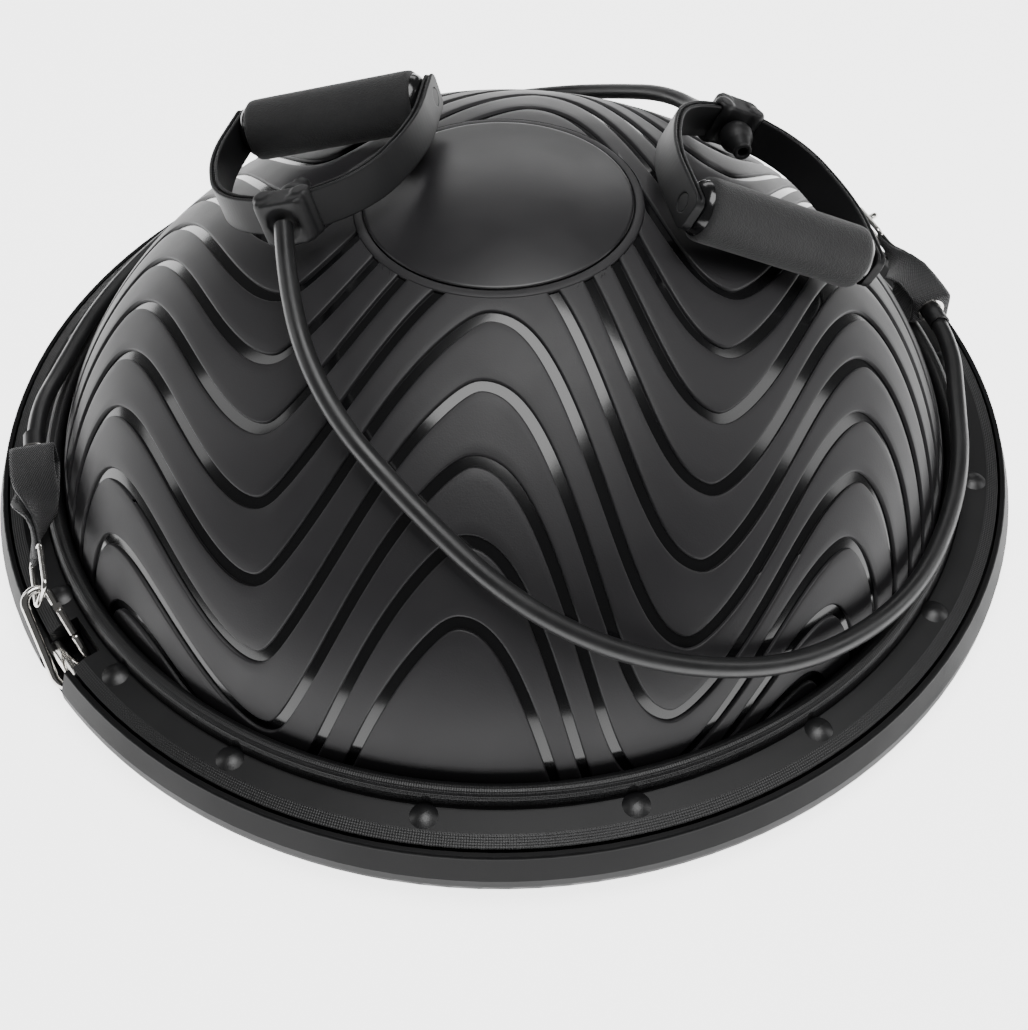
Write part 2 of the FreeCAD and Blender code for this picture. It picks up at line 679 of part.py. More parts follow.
def withEars(band):
    # the corners of both ends are rounded off, and the ends bored for the rod
    reach, half, wide, rod, corner = size("ear_reach", "ear_half", "strap_wide", "rod_radius",
                                          "ear_corner")
    high = wide / 2 - corner
    for sign in (-1, 1):
        for edge in (-1, 1):
            start = Vec(sign * half - 10, reach + 12 - corner, edge * high)
            block = Part.makeBox(20, corner + 2, corner + 2,
                                 start - Vec(0, 0, 0 if edge > 0 else corner + 2))
            band = band.cut(block.cut(Part.makeCylinder(corner, 20, start, Vec(1, 0, 0))))
    return band.cut(Part.makeCylinder(rod + 0.02, 160, Vec(-80, reach, 0), Vec(1, 0, 0)))


def softPost(radius, tall, spot):
    # upright round post with both rims bevelled
    bevel = 2
    low = spot + Vec(0, 0, -tall / 2)
    middle = Part.makeCylinder(radius, tall - 2 * bevel, low + Vec(0, 0, bevel))
    lower = Part.makeCone(radius - bevel * 0.7, radius, bevel, low)
    upper = Part.makeCone(radius, radius - bevel * 0.7, bevel, low + Vec(0, 0, tall - bevel))
    return middle.fuse([lower, upper]).removeSplitter()


def knuckleShape():
    # lobed block gripping the band, with a bell mouth for the tube
    tall, half, inner = size("knuckle_tall", "knuckle_half", "knuckle_inner")
    socket, stem = size("socket_radius", "stem_radius")
    block = Part.makeBox(20, half + inner, tall - 1.6, Vec(-10, -half, -tall / 2 + 0.8))
    lobes = [softPost(5.8, tall, Vec(sign * 10.5, 0.2, 0)) for sign in (-1, 1)]
    lobes += [softPost(5.4, tall - 1, Vec(sign * 8.8, -half + 5.3, 0)) for sign in (-1, 1)]
    body = block.fuse(lobes).removeSplitter()
    spread = math.radians(58)
    throat = socket * math.cos(spread)
    depth = socket * math.sin(spread)
    mouth = socket / math.cos(spread)
    bell = Part.makeCone(throat, mouth, depth, Vec(0, -half + depth, 0), Vec(0, -1, 0))
    ball = Part.makeSphere(socket, Vec(0, -half, 0))
    bore = Part.makeCylinder(stem + 0.02, 30, Vec(0, 0, 0), Vec(0, 1, 0))
    return body.cut([bell, ball, bore, strapShape(0.1)])


def stopperShape():
    # ball stopper close against the band, its stem pushed through, its nozzle open
    radius, stem, inner = size("ball_radius", "stem_radius", "knuckle_inner")
    centre = inner + radius - 1
    along = Vec(0, 1, 0)
    ball = Part.makeSphere(radius, Vec(0, centre, 0))
    ball = ball.cut(Part.makeBox(40, 20, 40, Vec(-20, inner - 19.98, -20)))
    nozzle = Part.makeCone(7.2, 4.8, 8, Vec(0, centre + 6, 0), along)
    lip = Part.makeCylinder(5.2, 2, Vec(0, centre + 13, 0), along)
    hole = Part.makeCylinder(2.8, 9, Vec(0, centre + 7, 0), along)
    post = Part.makeCylinder(stem, inner + 4, Vec(0, -2, 0), along)
    return ball.fuse([nozzle, lip, post]).cut(hole).removeSplitter()


bandShape = withEars(strapShape())
stemBore = Part.makeCylinder(size("stem_radius") + 0.02, 12, Vec(0, -2.2, 0), Vec(0, 1, 0))
bandShape = bandShape.cut(stemBore)
knuckleBlock = knuckleShape()
stopperBall = stopperShape()
reach = size("ear_reach")
alongGrip = Place(Vec(0, reach, 0), Turn(Vec(0, 1, 0), 90))

for hand, spot in gripPlaces.items():
    plain(hand + "_knuckle", knuckleBlock.copy(), spot)
    plain(hand + "_strap", bandShape.copy(), spot)
    plain(hand + "_ball_stopper", stopperBall.copy(), spot)
    rod = spun(hand + "_grip_rod", [
        ("0", "-dims.ear_half - 2.9"), ("dims.rod_radius", "-dims.ear_half - 2.9"),
        ("dims.rod_radius", "dims.ear_half + 2.9"), ("0", "dims.ear_half + 2.9"),
    ])
    core = spun(hand + "_grip_core", [
        ("dims.rod_radius + 0.05", "-dims.foam_half - 0.2"),
        ("dims.core_radius", "-dims.foam_half - 0.2"),
        ("dims.core_radius", "dims.foam_half + 0.2"),
        ("dims.rod_radius + 0.05", "dims.foam_half + 0.2"),
    ])
    foam = spun(hand + "_foam_grip", [
        ("dims.core_radius + 0.02", "-dims.foam_half"), ("dims.foam_radius - 2.5", "-dims.foam_half",
                                                          "3"),
        ("dims.foam_radius", "-dims.foam_half + 2.5"), ("dims.foam_radius", "dims.foam_half - 2.5",
                                                       "3"),
        ("dims.foam_radius - 2.5", "dims.foam_half"), ("dims.core_radius + 0.02", "dims.foam_half"),
    ])
    for item in (rod, core, foam):
        item.Placement = spot * alongGrip
    caps = []
    for sign in (1, -1):
        inside, rim, start = size("rod_radius") + 0.05, size("cap_round"), size("foam_half") + 0.22
        corners = [Vec(inside, 0, start), Vec(rim, 0, start), Vec(6.8, 0, start + 4.6),
                   Vec(inside, 0, start + 4.6)]
        dome = Part.Arc(corners[1], Vec(rim - 2, 0, start + 3), corners[2]).toShape()
        flats = [Part.makeLine(corners[k], corners[(k + 1) % 4]) for k in (2, 3, 0)]
        profile = Part.Wire([dome] + flats)
        washer = Part.Face(profile).revolve(Vec(0, 0, 0), upward, 360)
        if sign < 0:
            washer = washer.mirror(Vec(0, 0, 0), upward)
        caps.append(washer)
    plain(hand + "_end_caps", group(caps), spot * alongGrip)

# ---- resistance tubes ----
# each runs from the plug in one webbing tab, round the dome, to the opposite hand's knuckle

tubeRoutes = {
    "front": ("right", "left", [
        (272.6, 25.1, 56.5), (266.5, -22, 50.5), (258, -70, 51), (241, -114, 51), (217, -155, 52),
        (184, -189, 58), (140, -217, 68), (91, -231, 86), (43, -231, 105), (-2, -215, 126),
        (-47, -178.5, 152), (-84, -139, 173), (-105, -86, 192.5),
    ]),
    "rear": ("left", "right", [
        (-272.6, -25.1, 56.5), (-266.5, 22, 50.5), (-256, 72, 51), (-236, 122, 51),
        (-206, 168, 52), (-166, 208, 55), (-116, 237, 60), (-70, 248, 69), (-14, 251, 83),
        (44, 243, 95), (78, 208, 118.5), (108, 168, 143), (126.5, 127, 155),
    ]),
}


def tubeShape(label, start, finish, middle):
    radius = size("tube_radius")
    points = [start] + [Vec(*p) for p in middle] + [finish]
    print(label, "ends", [round(v, 2) for v in start], [round(v, 2) for v in finish])
    edges = routeEdges(points, cordDiameter=2 * radius, label=label)
    length = sum(edge.Length for edge in edges)
    tube = roundBar(edges, radius, points[1] - points[0])
    share = tube.Volume / (math.pi * radius ** 2 * length)
    print(label, "length", round(length, 1), "volume against section times length", round(share, 4))
    return tube.fuse(Part.makeSphere(radius, finish))


for name, (anchor, hand, middle) in tubeRoutes.items():
    begin = slotSpots[anchor].multVec(plugFace)
    end = gripPlaces[hand].multVec(Vec(0, -size("knuckle_half"), 0))
    plain(name + "_tube", tubeShape(name + "_tube", begin, end, middle))

# ---- checks and export ----

doc.recompute()
skip = ("Spreadsheet::Sheet",)
children = set()
for item in doc.Objects:
    if item.TypeId == "PartDesign::Body":
        children.update(inner.Name for inner in item.Group)
        children.update(inner.Name for inner in item.Origin.OriginFeatures)
        children.add(item.Origin.Name)
wanted = [item for item in doc.Objects
          if item.TypeId not in skip and item.Name not in children and hasattr(item, "Shape")]
for item in doc.Objects:
    if "Invalid" in item.State or "Error" in item.State:
        raise ValueError("not computed: " + item.Name)
os.makedirs("parts", exist_ok=True)
for item in wanted:
    shape = item.Shape
    if shape.isNull() or not shape.isValid():
        raise ValueError("bad shape: " + item.Label)
    shape.exportStep("parts/%s.step" % item.Label)
    print(item.Label, "solids", len(shape.Solids), "volume", round(shape.Volume))
print(len(wanted), "nodes")
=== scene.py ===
import math
import bmesh
import bpy
from mathutils import Matrix, Vector


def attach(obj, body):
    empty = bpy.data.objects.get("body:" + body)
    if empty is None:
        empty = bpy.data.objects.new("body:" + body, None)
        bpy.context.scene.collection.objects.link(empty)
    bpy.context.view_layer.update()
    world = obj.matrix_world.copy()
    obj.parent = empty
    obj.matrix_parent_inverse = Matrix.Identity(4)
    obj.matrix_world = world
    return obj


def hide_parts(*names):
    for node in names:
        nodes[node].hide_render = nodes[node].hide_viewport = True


# Balance dome trainer: a wave-patterned inflated dome on a round base, with two resistance
# tubes and their hand grips. Metres, +Z up, origin on the floor under the dome's centre.

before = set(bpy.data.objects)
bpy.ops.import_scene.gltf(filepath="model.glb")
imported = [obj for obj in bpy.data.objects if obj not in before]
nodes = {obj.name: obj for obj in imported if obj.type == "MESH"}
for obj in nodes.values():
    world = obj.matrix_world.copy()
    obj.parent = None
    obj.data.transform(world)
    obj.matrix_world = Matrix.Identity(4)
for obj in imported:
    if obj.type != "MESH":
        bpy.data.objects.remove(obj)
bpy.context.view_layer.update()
mm = 0.001
print("frame loaded")


# ---- materials ----

def linear(code):
    # hex sRGB to linear colour
    parts = [int(code[i:i + 2], 16) / 255 for i in (1, 3, 5)]
    values = [p / 12.92 if p <= 0.04045 else ((p + 0.055) / 1.055) ** 2.4 for p in parts]
    return (*values, 1.0)


def addNode(tree, kind, inputs=None, **settings):
    node = tree.nodes.new(kind)
    for name, value in settings.items():
        setattr(node, name, value)
    for name, value in (inputs or {}).items():
        if isinstance(value, bpy.types.NodeSocket):
            tree.links.new(value, node.inputs[name])
        else:
            node.inputs[name].default_value = value
    return node


def startMaterial(name, color, rough, metallic=0.0, specular=0.5):
    mat = bpy.data.materials.new(name)
    mat.use_nodes = True
    tree = mat.node_tree
    shader = tree.nodes["Principled BSDF"]
    shader.inputs["Base Color"].default_value = linear(color)
    shader.inputs["Roughness"].default_value = rough
    shader.inputs["Metallic"].default_value = metallic
    shader.inputs["Specular IOR Level"].default_value = specular
    place = addNode(tree, "ShaderNodeTexCoord")
    return mat, tree, shader, place.outputs["Object"]


def mathNode(tree, operation, a, b=0.0):
    node = addNode(tree, "ShaderNodeMath", operation=operation)
    for index, value in enumerate((a, b)):
        if isinstance(value, bpy.types.NodeSocket):
            tree.links.new(value, node.inputs[index])
        else:
            node.inputs[index].default_value = value
    return node.outputs[0]


def varied(tree, shader, coords, low, high, scale, spread):
    # mottled colour between two tones, and roughness that varies with it
    noise = addNode(tree, "ShaderNodeTexNoise", {"Vector": coords, "Scale": scale, "Detail": 5.0,
                                                 "Roughness": 0.6})
    mix = addNode(tree, "ShaderNodeMix", {"Factor": noise.outputs["Fac"]}, data_type="RGBA")
    mix.inputs["A"].default_value = linear(low)
    mix.inputs["B"].default_value = linear(high)
    tree.links.new(mix.outputs["Result"], shader.inputs["Base Color"])
    base = shader.inputs["Roughness"].default_value
    rough = addNode(tree, "ShaderNodeMapRange", {"Value": noise.outputs["Fac"], "From Min": 0.3,
                                                 "From Max": 0.7, "To Min": base - spread,
                                                 "To Max": base + spread})
    tree.links.new(rough.outputs["Result"], shader.inputs["Roughness"])


def bumped(tree, shader, height, distance):
    bump = addNode(tree, "ShaderNodeBump", {"Height": height, "Distance": distance,
                                            "Strength": 1.0})
    tree.links.new(bump.outputs["Normal"], shader.inputs["Normal"])


def grainMaterial(name, low, high, rough, grain, depth, patch=18.0, spread=0.05, specular=0.5):
    # moulded surface: fine grain of a given size and depth in mm, over slow patches of tone
    mat, tree, shader, coords = startMaterial(name, low, rough, specular=specular)
    varied(tree, shader, coords, low, high, patch, spread)
    fine = addNode(tree, "ShaderNodeTexNoise", {"Vector": coords, "Scale": 1 / (grain * mm),
                                                "Detail": 2.0})
    bumped(tree, shader, fine.outputs["Fac"], depth * mm)
    return mat


# matte rubber of the dome's raised pads, finely grained
padRubber = grainMaterial("matte pad rubber", "#1b1a1c", "#201f21", 0.5, 0.9, 0.06, specular=0.4)
# polished rubber of the channels between the pads
channelRubber = grainMaterial("glossy channel rubber", "#0b0b0c", "#101011", 0.13, 6, 0.01,
                              spread=0.03)
# satin rubber of the crown's plain disc
discRubber = grainMaterial("satin disc rubber", "#19181a", "#1d1c1e", 0.34, 0.9, 0.03)
# moulded base, satin polypropylene
trayPlastic = grainMaterial("satin base plastic", "#0d0d0e", "#111112", 0.5, 0.7, 0.04,
                            specular=0.14)
# moulded screw caps
capPlastic = grainMaterial("cap plastic", "#111112", "#151516", 0.38, 0.8, 0.03)
# rubber of the feet, valve and ferrules
softRubber = grainMaterial("soft black rubber", "#0e0e0f", "#121213", 0.42, 0.6, 0.03)
# latex of the tubes: smooth, with a soft sheen and faint bloom
tubeLatex = grainMaterial("black latex tube", "#131314", "#19191a", 0.4, 2.5, 0.03,
                          patch=45.0, spread=0.07)
# knuckles and ball stoppers
knucklePlastic = grainMaterial("satin knuckle plastic", "#141415", "#19191a", 0.46, 0.6, 0.03,
                               specular=0.28)
# hand straps, moulded rubber
strapRubber = grainMaterial("satin strap rubber", "#131314", "#181819", 0.46, 0.8, 0.04,
                            specular=0.22)
# end washers and grip core, glossy moulded plastic
glossPlastic = grainMaterial("glossy black plastic", "#0e0e0f", "#141415", 0.16, 5, 0.01)


def foamMaterial():
    # closed-cell foam: cells about 0.9 mm across, and slow lumps
    mat, tree, shader, coords = startMaterial("closed-cell foam", "#111112", 0.8)
    varied(tree, shader, coords, "#101011", "#171718", 60.0, 0.06)
    cells = addNode(tree, "ShaderNodeTexVoronoi", {"Vector": coords, "Scale": 1 / (0.9 * mm)})
    lumps = addNode(tree, "ShaderNodeTexNoise", {"Vector": coords, "Scale": 1 / (3.5 * mm),
                                                 "Detail": 3.0})
    mixed = mathNode(tree, "ADD", cells.outputs["Distance"], lumps.outputs["Fac"])
    bumped(tree, shader, mixed, 0.22 * mm)
    shader.inputs["Sheen Weight"].default_value = 0.15
    return mat


def metalMaterial(name, color, rough):
    # plated metal with faint drawn marks and slight dulling
    mat, tree, shader, coords = startMaterial(name, color, rough, metallic=1.0)
    noise = addNode(tree, "ShaderNodeTexNoise", {"Vector": coords, "Scale": 180.0, "Detail": 4.0})
    rise = addNode(tree, "ShaderNodeMapRange", {"Value": noise.outputs["Fac"], "From Min": 0.35,
                                                "From Max": 0.7, "To Min": rough * 0.7,
                                                "To Max": rough * 1.5})
    tree.links.new(rise.outputs["Result"], shader.inputs["Roughness"])
    bumped(tree, shader, noise.outputs["Fac"], 0.02 * mm)
    return mat


# clips, pins, link rings and eyelets
nickelPlate = metalMaterial("bright nickel plate", "#d2d0cc", 0.14)
# clamp screws under their caps
zincSteel = metalMaterial("zinc plated steel", "#a9aaad", 0.3)
# hand grips
foam = foamMaterial()


def polar(tree, coords):
    # radius, angle in radians and height of a point, for patterns round the dome's axis
    split = addNode(tree, "ShaderNodeSeparateXYZ", {"Vector": coords})
    x, y, z = (split.outputs[i] for i in range(3))
    radius = mathNode(tree, "SQRT", mathNode(tree, "ADD", mathNode(tree, "MULTIPLY", x, x),
                                             mathNode(tree, "MULTIPLY", y, y)))
    return radius, mathNode(tree, "ARCTAN2", y, x), z


def between(tree, value, low, high, soft):
    # 1 inside a band, falling off over a soft edge
    rise = addNode(tree, "ShaderNodeMapRange", {"Value": value, "From Min": low - soft,
                                                "From Max": low, "To Min": 0.0, "To Max": 1.0})
    fall = addNode(tree, "ShaderNodeMapRange", {"Value": value, "From Min": high,
                                                "From Max": high + soft, "To Min": 1.0,
                                                "To Max": 0.0})
    return mathNode(tree, "MULTIPLY", rise.outputs["Result"], fall.outputs["Result"])


ringForm = {
    "patternRadius": 0.265, "diamondLong": 2.4 * mm, "diamondWide": 3.2 * mm,
    "bead": (0.2600, 0.2706), "chamfer": (0.2850, 0.2920), "edge": 0.0004, "relief": 0.07 * mm,
}


def ringMaterial():
    # clamp ring: diamond texture on the bead and the outer chamfer, fine grain between
    mat, tree, shader, coords = startMaterial("clamp ring plastic", "#0f0f10", 0.42, specular=0.4)
    varied(tree, shader, coords, "#0f0f10", "#141415", 20.0, 0.05)
    radius, angle, height = polar(tree, coords)
    along = mathNode(tree, "MULTIPLY", angle,
                     ringForm["patternRadius"] / ringForm["diamondLong"] * 2 * math.pi)
    across = mathNode(tree, "MULTIPLY", mathNode(tree, "SUBTRACT", radius, height),
                      2 * math.pi / ringForm["diamondWide"])
    first = mathNode(tree, "SINE", mathNode(tree, "ADD", along, across))
    second = mathNode(tree, "SINE", mathNode(tree, "SUBTRACT", along, across))
    diamonds = mathNode(tree, "MULTIPLY", first, second)
    band = mathNode(tree, "MAXIMUM", between(tree, radius, *ringForm["bead"], ringForm["edge"]),
                    between(tree, radius, *ringForm["chamfer"], ringForm["edge"]))
    fine = addNode(tree, "ShaderNodeTexNoise", {"Vector": coords, "Scale": 1 / (0.7 * mm)})
    grain = mathNode(tree, "MULTIPLY", fine.outputs["Fac"], 0.25)
    bumped(tree, shader, mathNode(tree, "ADD", mathNode(tree, "MULTIPLY", diamonds, band), grain),
           ringForm["relief"])
    return mat


ringPlastic = ringMaterial()


weaveForm = {"ribWidth": 1.3, "pickLength": 2.0, "relief": 0.25 * mm}


def webbingMaterial():
    # nylon webbing in a diagonal twill, its ribs and picks measured in mm on the band
    mat, tree, shader, _ = startMaterial("nylon webbing", "#19191b", 0.62)
    weave = addNode(tree, "ShaderNodeUVMap", uv_map="weave")
    split = addNode(tree, "ShaderNodeSeparateXYZ", {"Vector": weave.outputs["UV"]})
    across = mathNode(tree, "MULTIPLY", split.outputs[0], 2 * math.pi / weaveForm["ribWidth"])
    along = mathNode(tree, "MULTIPLY", split.outputs[1], 2 * math.pi / weaveForm["pickLength"])
    ribs = mathNode(tree, "SINE", mathNode(tree, "ADD", across, along))
    picks = mathNode(tree, "SINE", mathNode(tree, "SUBTRACT", mathNode(tree, "MULTIPLY", across,
                                                                       0.5), along))
    height = mathNode(tree, "ADD", mathNode(tree, "MULTIPLY", ribs, 0.7),
                      mathNode(tree, "MULTIPLY", picks, 0.3))
    # painted shade and light: the colour follows the weave's height, darker in its grooves and
    # lighter on its ribs
    weaveShading = addNode(tree, "ShaderNodeMapRange", {"Value": height, "From Min": -1.0, "From Max": 1.0,
                                                "To Min": 0.0, "To Max": 1.0})
    mix = addNode(tree, "ShaderNodeMix", {"Factor": weaveShading.outputs["Result"]}, data_type="RGBA")
    mix.inputs["A"].default_value = linear("#09090a")
    mix.inputs["B"].default_value = linear("#17171a")
    tree.links.new(mix.outputs["Result"], shader.inputs["Base Color"])
    bumped(tree, shader, height, weaveForm["relief"])
    shader.inputs["Sheen Weight"].default_value = 0.25
    return mat


webbing = webbingMaterial()


def dress(name, mat):
    slots = nodes[name].data.materials
    slots.clear()
    slots.append(mat)


baseFinish = {
    "base_tray": trayPlastic, "clamp_ring": ringPlastic, "clamp_screws": zincSteel,
    "screw_caps": capPlastic, "rubber_feet": softRubber, "valve_seat": softRubber,
    "air_plug": softRubber, "dome_bladder": channelRubber, "front_tube": tubeLatex,
    "rear_tube": tubeLatex,
}
# these come once at each side
sideFinish = {
    "anchor_pin": nickelPlate, "snap_hook": nickelPlate, "hook_gate": nickelPlate,
    "gate_pin": nickelPlate, "link_ring": nickelPlate, "eyelet": nickelPlate,
    "tube_sleeve": softRubber, "tube_plug": softRubber, "webbing_tab": webbing,
    "knuckle": knucklePlastic, "strap": strapRubber, "ball_stopper": knucklePlastic,
    "grip_rod": strapRubber, "grip_core": glossPlastic, "foam_grip": foam,
    "end_caps": glossPlastic,
}
for piece, mat in baseFinish.items():
    dress(piece, mat)
for hand in ("left", "right"):
    for piece, mat in sideFinish.items():
        dress(hand + "_" + piece, mat)
print("materials done")


# ---- mesh helpers ----

def addPiece(name, data, mat, body, replaces=()):
    obj = bpy.data.objects.new(name, data)
    bpy.context.scene.collection.objects.link(obj)
    data.materials.append(mat)
    if replaces:
        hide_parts(*replaces)
    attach(obj, body)
    return obj


def addSurface(mesh, name, mat, body, replaces=()):
    for face in mesh.faces:
        face.smooth = True
    data = bpy.data.meshes.new(name)
    mesh.to_mesh(data)
    mesh.free()
    return addPiece(name, data, mat, body, replaces)


def addSolid(mesh, name, mat, body, replaces=()):
    bmesh.ops.recalc_face_normals(mesh, faces=mesh.faces)
    return addSurface(mesh, name, mat, body, replaces)


# ---- dome skin and its wave-shaped pads ----
# Flat coordinates (u, v) are distances from the crown along the skin, in millimetres.

domeForm = {
    "crownRadius": 312.0, "crownTop": 197.0, "joinRadius": 215.0, "shoulderRadius": 163.0,
    "neckHeight": 36.0, "channelDepth": 1.7, "channelHalf": 2.8, "discRadius": 73.5,
    "bandRadius": 79.0, "padEnd": 331.0, "skinEnd": 335.0, "sheetRadius": 252.5,
    "sheetTop": 21.5, "sheetLow": 10.5, "segments": 256,
}
joinAngle = math.asin(domeForm["joinRadius"] / domeForm["crownRadius"])
joinLength = domeForm["crownRadius"] * joinAngle
crownCentre = domeForm["crownTop"] - domeForm["crownRadius"]
shoulderX = domeForm["joinRadius"] - domeForm["shoulderRadius"] * math.sin(joinAngle)
shoulderZ = (crownCentre + (domeForm["crownRadius"] - domeForm["shoulderRadius"])
             * math.cos(joinAngle))
neckAngle = math.acos((domeForm["neckHeight"] - shoulderZ) / domeForm["shoulderRadius"])
neckLength = joinLength + domeForm["shoulderRadius"] * (neckAngle - joinAngle)


def onDome(u, v, lift=0.0):
    # point of the skin, in metres
    length = math.hypot(u, v)
    heading = (u / length, v / length) if length > 1e-9 else (1.0, 0.0)
    if length <= joinLength:
        angle = length / domeForm["crownRadius"]
        reach = (domeForm["crownRadius"] + lift) * math.sin(angle)
        height = crownCentre + (domeForm["crownRadius"] + lift) * math.cos(angle)
    else:
        angle = min(joinAngle + (length - joinLength) / domeForm["shoulderRadius"], neckAngle)
        over = max(0.0, length - neckLength)
        radius = domeForm["shoulderRadius"] + lift
        reach = shoulderX + radius * math.sin(angle)
        height = shoulderZ + radius * math.cos(angle) - over
    return Vector((heading[0] * reach, heading[1] * reach, height)) * mm


# turning points of one wave line in mm, how far each half wave between them is straightened
# (below nought: steepened in its middle), and the step from each line to the next
waveTurns = [(-371, -216), (-245, -114), (-139, -246), (-10.6, -127), (92.5, -286), (205, -141),
             (330, -308), (437, -160)]
waveBlend = [0.3, 0.1, 0.45, -0.5, 0.3, 0.1, 0.3]
waveStep = (5.0, 38.0)
firstLine, pastLastLine, lowestDrop = -4, 22, 4


def waveLine(step=2.6):
    # points along the line; between turning points it is a half wave, more or less straightened
    points = []
    samples = 60
    for a, b, straight in zip(waveTurns, waveTurns[1:], waveBlend):
        for i in range(samples):
            t = i / samples
            ease = (1 - math.cos(math.pi * t)) / 2
            if straight >= 0:
                ramp = t
            else:
                ramp = t * t * t * (t * (6 * t - 15) + 10)
            level = ease + (ramp - ease) * abs(straight) * (1 - abs(2 * t - 1) ** 6)
            points.append((a[0] + (b[0] - a[0]) * t, a[1] + (b[1] - a[1]) * level))
    # the same line again, with its points evenly spaced
    even = [points[0]]
    carry = 0.0
    for a, b in zip(points, points[1:]):
        length = math.hypot(b[0] - a[0], b[1] - a[1])
        place = step - carry
        while place <= length:
            share = place / length
            even.append((a[0] + (b[0] - a[0]) * share, a[1] + (b[1] - a[1]) * share))
            place += step
        carry = (carry + length) % step
    return even


def normals(points):
    found = []
    for i in range(len(points)):
        a, b = points[max(i - 1, 0)], points[min(i + 1, len(points) - 1)]
        dx, dy = b[0] - a[0], b[1] - a[1]
        length = math.hypot(dx, dy) or 1.0
        found.append((-dy / length, dx / length))
    return found


baseLine = waveLine()
baseNormals = normals(baseLine)


def buildPads():
    # one pad between each two lines, its edges rounded down into the channels
    mesh = bmesh.new()
    half = domeForm["channelHalf"]
    edge = [(0.0, -domeForm["channelDepth"]), (0.25, -0.55), (0.6, -0.14), (1.2, 0.0)]
    inner, outer = domeForm["bandRadius"], domeForm["padEnd"]
    for line in range(firstLine, pastLastLine):
        # the lowest pad has no line under it and runs on down behind the ring
        drop = lowestDrop if line == firstLine else 1
        strips = 5 * drop
        shift = (waveStep[0] * (line + 1 - drop), waveStep[1] * (line + 1 - drop))
        grid = []
        for (x, y), (nx, ny) in zip(baseLine, baseNormals):
            low = [(x + shift[0] + nx * (half + inset), y + shift[1] + ny * (half + inset), lift)
                   for inset, lift in edge]
            topX, topY = x + waveStep[0] * (line + 1), y + waveStep[1] * (line + 1)
            high = [(topX - nx * (half + inset), topY - ny * (half + inset), lift)
                    for inset, lift in edge]
            a, b = low[-1], high[-1]
            middle = [(a[0] + (b[0] - a[0]) * t, a[1] + (b[1] - a[1]) * t, 0.0)
                      for t in [(k + 1) / strips for k in range(strips - 1)]]
            grid.append(low + middle + high[::-1])
        state = []
        made = []
        for column in grid:
            lengths = [math.hypot(u, v) for u, v, _ in column]
            state.append([-1 if d < inner else (1 if d > outer else 0) for d in lengths])
            row = []
            for (u, v, lift), d in zip(column, lengths):
                clamp = min(max(d, inner), outer) / d
                row.append((u * clamp, v * clamp, lift))
            made.append(row)
        verts = {}

        def vertex(i, j):
            if (i, j) not in verts:
                verts[i, j] = mesh.verts.new(onDome(*made[i][j]))
            return verts[i, j]

        for i in range(len(grid) - 1):
            for j in range(len(grid[0]) - 1):
                corners = [(i, j), (i + 1, j), (i + 1, j + 1), (i, j + 1)]
                found = [state[a][b] for a, b in corners]
                if all(f == 1 for f in found) or all(f == -1 for f in found):
                    continue
                mesh.faces.new([vertex(a, b) for a, b in corners])
    bmesh.ops.remove_doubles(mesh, verts=mesh.verts, dist=0.00002)
    bmesh.ops.dissolve_degenerate(mesh, edges=mesh.edges, dist=0.00001)
    return mesh


def lathe(profile, segments):
    # ring or disc of revolution from (radius, height) points in metres
    mesh = bmesh.new()
    rows = []
    for x, z in profile:
        if x < 1e-9:
            rows.append([mesh.verts.new((0, 0, z))])
            continue
        rows.append([mesh.verts.new((x * math.cos(2 * math.pi * k / segments),
                                     x * math.sin(2 * math.pi * k / segments), z))
                     for k in range(segments)])
    for a, b in zip(rows, rows[1:]):
        for k in range(segments):
            following = (k + 1) % segments
            if len(a) == 1:
                mesh.faces.new((a[0], b[following], b[k]))
            elif len(b) == 1:
                mesh.faces.new((a[k], a[following], b[0]))
            else:
                mesh.faces.new((a[k], a[following], b[following], b[k]))
    return mesh


def skinProfile(start, end, count, lift):
    # (radius, height) points along the skin, for lathe
    points = []
    for i in range(count + 1):
        spot = onDome(start + (end - start) * i / count, 0.0, lift)
        points.append((spot.x, spot.z))
    return points


def orientUp(mesh):
    # the pads are open underneath, so their normals are turned away from the dome's inside
    for face in mesh.faces:
        centre = face.calc_center_median()
        if face.normal.dot(centre - Vector((0, 0, -0.02))) < 0:
            face.normal_flip()


def buildDome():
    depth, segments = domeForm["channelDepth"], domeForm["segments"]
    # the skin at channel level, closed below by a flat sheet
    wall, top, low = (domeForm[key] * mm for key in ("sheetRadius", "sheetTop", "sheetLow"))
    profile = skinProfile(0.0, domeForm["skinEnd"], 90, -depth)
    profile += [(wall, top), (wall, low), (0.0, low)]
    addSolid(lathe(profile, segments), "domeSkin", channelRubber, "base",
             replaces=["dome_bladder"])
    # pads, joined round the crown by a plain band
    pads = buildPads()
    pads.normal_update()
    orientUp(pads)
    addSurface(pads, "domePads", padRubber, "base")
    inner, outer = domeForm["discRadius"], domeForm["bandRadius"]
    band = [(inner + 0.45, -depth), (inner + 0.45, -0.4), (inner + 0.9, 0.0), (outer - 1.0, 0.0),
            (outer - 0.4, -0.1), (outer, -0.6), (outer, -depth)]
    flat = [onDome(length, 0.0, lift) for length, lift in band]
    addSolid(lathe([(p.x, p.z) for p in flat + flat[:1]], segments), "crownBand", padRubber,
             "base")
    # the disc stands a little proud inside the band, with a shallow underside
    proud = 0.35
    edge = [(inner - 0.9, proud), (inner - 0.45, -0.1), (inner - 0.45, -depth)]
    rim = [onDome(length, 0.0, lift) for length, lift in edge]
    disc = skinProfile(0.0, inner - 2.0, 24, proud) + [(p.x, p.z) for p in rim]
    disc += [(0.0, disc[-1][1] - 0.5 * mm)]
    addSolid(lathe(disc, segments), "crownDisc", discRubber, "base")


buildDome()
print("dome done")

# ---- resistance tubes ----
# route points in metres, those of the CAD tubes

